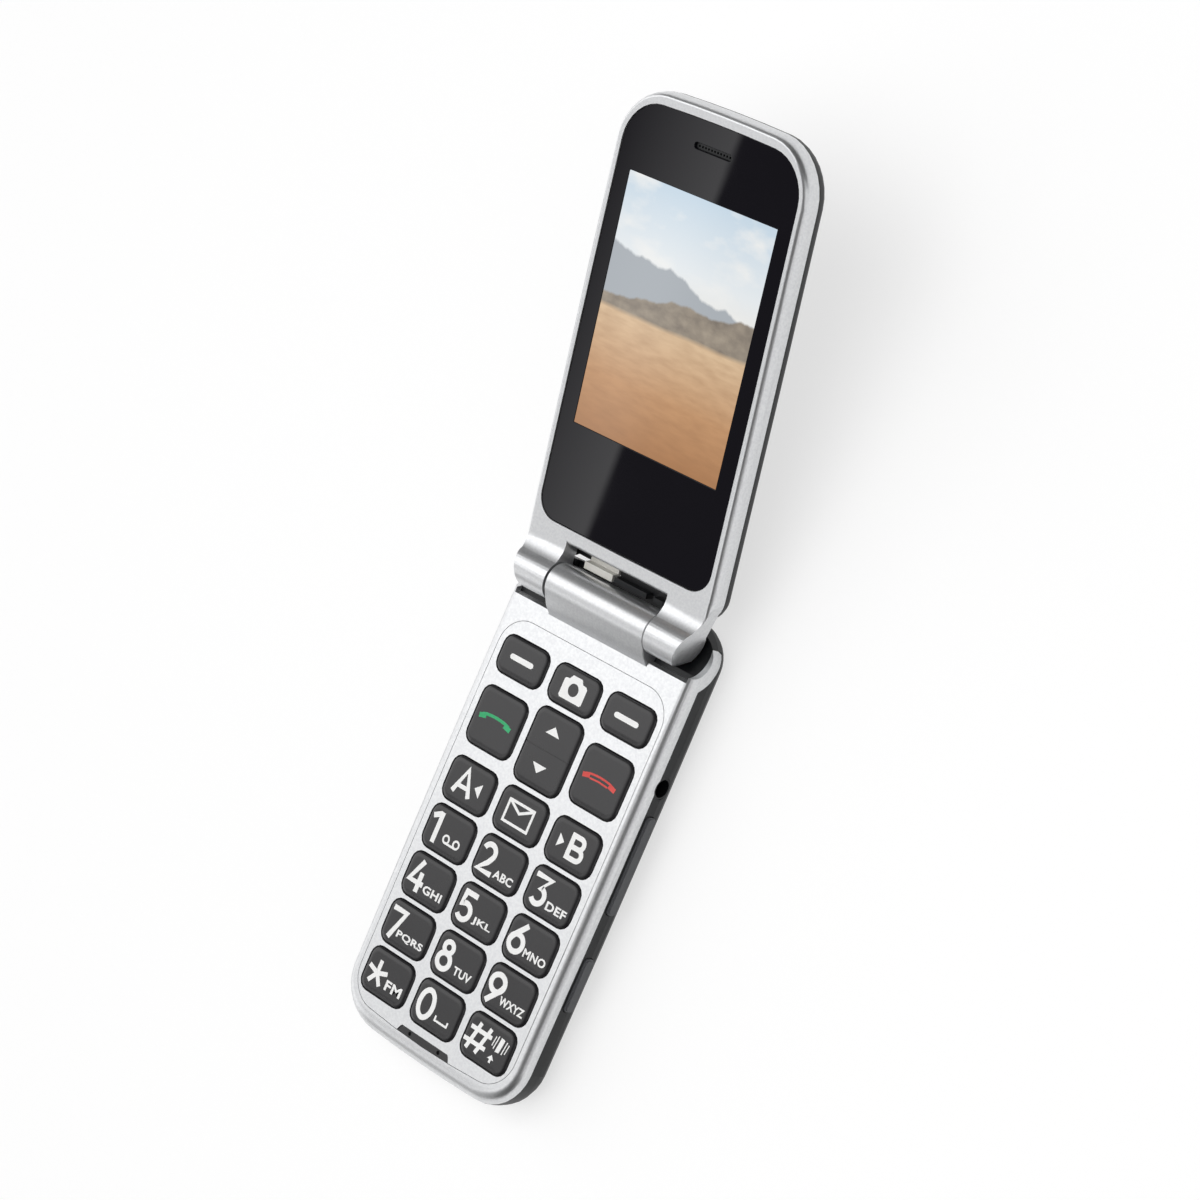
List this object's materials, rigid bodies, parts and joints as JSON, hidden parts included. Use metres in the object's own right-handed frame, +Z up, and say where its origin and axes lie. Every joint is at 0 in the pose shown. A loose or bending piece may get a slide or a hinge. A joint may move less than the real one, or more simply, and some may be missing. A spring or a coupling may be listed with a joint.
{
  "type": "flip phone",
  "caption": "Silver and black flip phone lying open, with large grey keys, a barrel hinge between two knuckles and a colour screen in a black window.",
  "frame": {"origin": "centre of the base's flat underside", "axes": "+Y from the microphone end towards the hinge, +Z up from the underside to the keys, +X to the user's right, on the side of the volume rocker"},
  "size_m": [0.0492, 0.1881, 0.0381],
  "materials": {
    "silver_paint": "moulded plastic with satin silver paint",
    "black_plastic": "moulded plastic, fine satin grain",
    "black_window": "clear acrylic, black behind, gloss",
    "screen_glass": "liquid crystal panel, gloss",
    "grey_keys": "moulded dark grey plastic, semi-gloss",
    "grey_side_keys": "moulded grey plastic, satin",
    "steel": "plain steel",
    "gold_contacts": "gold-plated springs",
    "circuit_board": "green solder resist",
    "white_film": "thin film",
    "keypad_rubber": "silicone rubber",
    "battery_can": "metal can in printed film"
  },
  "bodies": {
    "base": {"base_frame": "silver_paint", "keypad_plate": "silver_paint", "hinge_barrel": "silver_paint", "base_shell": "black_plastic", "battery": "battery_can", "battery_contacts": "gold_contacts", "sim_holder": "steel", "main_board": "circuit_board", "dome_sheet": "white_film", "keypad_mat": "keypad_rubber", "shield_can": "steel", "loudspeaker": "black_plastic", "vibration_motor": "steel", "antenna": "gold_contacts", "microphone": "steel", "microphone_grille": "black_plastic", "headphone_jack": "black_plastic", "usb_socket": "steel", "side_key_board": "circuit_board", "base_screws": "steel", "hinge_module": "steel", "hinge_sleeve": "steel"},
    "lid": {"lid_frame": "silver_paint", "lid_window": "black_window", "display_module": "screen_glass", "lid_cover": "black_plastic", "lid_board": "circuit_board", "earpiece": "black_plastic", "earpiece_mesh": "steel", "camera_module": "steel", "camera_window": "black_plastic", "lid_screws": "steel", "hinge_pin": "steel", "flex_cable": "white_film", "flex_guard": "black_plastic"},
    "battery_cover": {"battery_cover": "black_plastic"},
    "key_soft_left": {"key_soft_left": "grey_keys"},
    "key_camera": {"key_camera": "grey_keys"},
    "key_soft_right": {"key_soft_right": "grey_keys"},
    "key_call": {"key_call": "grey_keys"},
    "key_nav": {"key_nav": "grey_keys"},
    "key_end": {"key_end": "grey_keys"},
    "key_a": {"key_a": "grey_keys"},
    "key_message": {"key_message": "grey_keys"},
    "key_b": {"key_b": "grey_keys"},
    "key_1": {"key_1": "grey_keys"},
    "key_2": {"key_2": "grey_keys"},
    "key_3": {"key_3": "grey_keys"},
    "key_4": {"key_4": "grey_keys"},
    "key_5": {"key_5": "grey_keys"},
    "key_6": {"key_6": "grey_keys"},
    "key_7": {"key_7": "grey_keys"},
    "key_8": {"key_8": "grey_keys"},
    "key_9": {"key_9": "grey_keys"},
    "key_star": {"key_star": "grey_keys"},
    "key_0": {"key_0": "grey_keys"},
    "key_hash": {"key_hash": "grey_keys"},
    "volume_rocker": {"volume_rocker": "grey_side_keys"},
    "side_key": {"side_key": "grey_side_keys"}
  },
  "joints": [
    {"name": "lid_hinge", "type": "hinge", "parent": "base", "child": "lid", "pos_m": [0, 0.045, 0.012], "axis": [1, 0, 0], "range_deg": [0, 163.85]},
    {"name": "battery_cover_lift", "type": "slide", "parent": "base", "child": "battery_cover", "axis": [0, 0, -1], "range_m": [0, 0.012]},
    {"name": "key_soft_left_press", "type": "slide", "parent": "base", "child": "key_soft_left", "axis": [0, 0, -1], "range_m": [0, 0.0003], "stiffness_N_per_m": 3000, "springref_m": -0.0002},
    {"name": "key_camera_press", "type": "slide", "parent": "base", "child": "key_camera", "axis": [0, 0, -1], "range_m": [0, 0.0003], "stiffness_N_per_m": 3000, "springref_m": -0.0002},
    {"name": "key_soft_right_press", "type": "slide", "parent": "base", "child": "key_soft_right", "axis": [0, 0, -1], "range_m": [0, 0.0003], "stiffness_N_per_m": 3000, "springref_m": -0.0002},
    {"name": "key_call_press", "type": "slide", "parent": "base", "child": "key_call", "axis": [0, 0, -1], "range_m": [0, 0.0003], "stiffness_N_per_m": 3000, "springref_m": -0.0002},
    {"name": "key_nav_rock", "type": "hinge", "parent": "base", "child": "key_nav", "pos_m": [0, 0.0153, 0.00955], "axis": [1, 0, 0], "range_deg": [-2, 2], "stiffness_Nm_per_rad": 0.26},
    {"name": "key_end_press", "type": "slide", "parent": "base", "child": "key_end", "axis": [0, 0, -1], "range_m": [0, 0.0003], "stiffness_N_per_m": 3000, "springref_m": -0.0002},
    {"name": "key_a_press", "type": "slide", "parent": "base", "child": "key_a", "axis": [0, 0, -1], "range_m": [0, 0.0003], "stiffness_N_per_m": 3000, "springref_m": -0.0002},
    {"name": "key_message_press", "type": "slide", "parent": "base", "child": "key_message", "axis": [0, 0, -1], "range_m": [0, 0.0003], "stiffness_N_per_m": 3000, "springref_m": -0.0002},
    {"name": "key_b_press", "type": "slide", "parent": "base", "child": "key_b", "axis": [0, 0, -1], "range_m": [0, 0.0003], "stiffness_N_per_m": 3000, "springref_m": -0.0002},
    {"name": "key_1_press", "type": "slide", "parent": "base", "child": "key_1", "axis": [0, 0, -1], "range_m": [0, 0.0003], "stiffness_N_per_m": 3000, "springref_m": -0.0002},
    {"name": "key_2_press", "type": "slide", "parent": "base", "child": "key_2", "axis": [0, 0, -1], "range_m": [0, 0.0003], "stiffness_N_per_m": 3000, "springref_m": -0.0002},
    {"name": "key_3_press", "type": "slide", "parent": "base", "child": "key_3", "axis": [0, 0, -1], "range_m": [0, 0.0003], "stiffness_N_per_m": 3000, "springref_m": -0.0002},
    {"name": "key_4_press", "type": "slide", "parent": "base", "child": "key_4", "axis": [0, 0, -1], "range_m": [0, 0.0003], "stiffness_N_per_m": 3000, "springref_m": -0.0002},
    {"name": "key_5_press", "type": "slide", "parent": "base", "child": "key_5", "axis": [0, 0, -1], "range_m": [0, 0.0003], "stiffness_N_per_m": 3000, "springref_m": -0.0002},
    {"name": "key_6_press", "type": "slide", "parent": "base", "child": "key_6", "axis": [0, 0, -1], "range_m": [0, 0.0003], "stiffness_N_per_m": 3000, "springref_m": -0.0002},
    {"name": "key_7_press", "type": "slide", "parent": "base", "child": "key_7", "axis": [0, 0, -1], "range_m": [0, 0.0003], "stiffness_N_per_m": 3000, "springref_m": -0.0002},
    {"name": "key_8_press", "type": "slide", "parent": "base", "child": "key_8", "axis": [0, 0, -1], "range_m": [0, 0.0003], "stiffness_N_per_m": 3000, "springref_m": -0.0002},
    {"name": "key_9_press", "type": "slide", "parent": "base", "child": "key_9", "axis": [0, 0, -1], "range_m": [0, 0.0003], "stiffness_N_per_m": 3000, "springref_m": -0.0002},
    {"name": "key_star_press", "type": "slide", "parent": "base", "child": "key_star", "axis": [0, 0, -1], "range_m": [0, 0.0003], "stiffness_N_per_m": 3000, "springref_m": -0.0002},
    {"name": "key_0_press", "type": "slide", "parent": "base", "child": "key_0", "axis": [0, 0, -1], "range_m": [0, 0.0003], "stiffness_N_per_m": 3000, "springref_m": -0.0002},
    {"name": "key_hash_press", "type": "slide", "parent": "base", "child": "key_hash", "axis": [0, 0, -1], "range_m": [0, 0.0003], "stiffness_N_per_m": 3000, "springref_m": -0.0002},
    {"name": "volume_rock", "type": "hinge", "parent": "base", "child": "volume_rocker", "pos_m": [0.02205, 0.0033, 0.0059], "axis": [0, 0, 1], "range_deg": [-1.5, 1.5], "stiffness_Nm_per_rad": 0.32},
    {"name": "side_key_press", "type": "slide", "parent": "base", "child": "side_key", "axis": [-1, 0, 0], "range_m": [0, 0.0004], "stiffness_N_per_m": 3000, "springref_m": -0.0002}
  ]
}
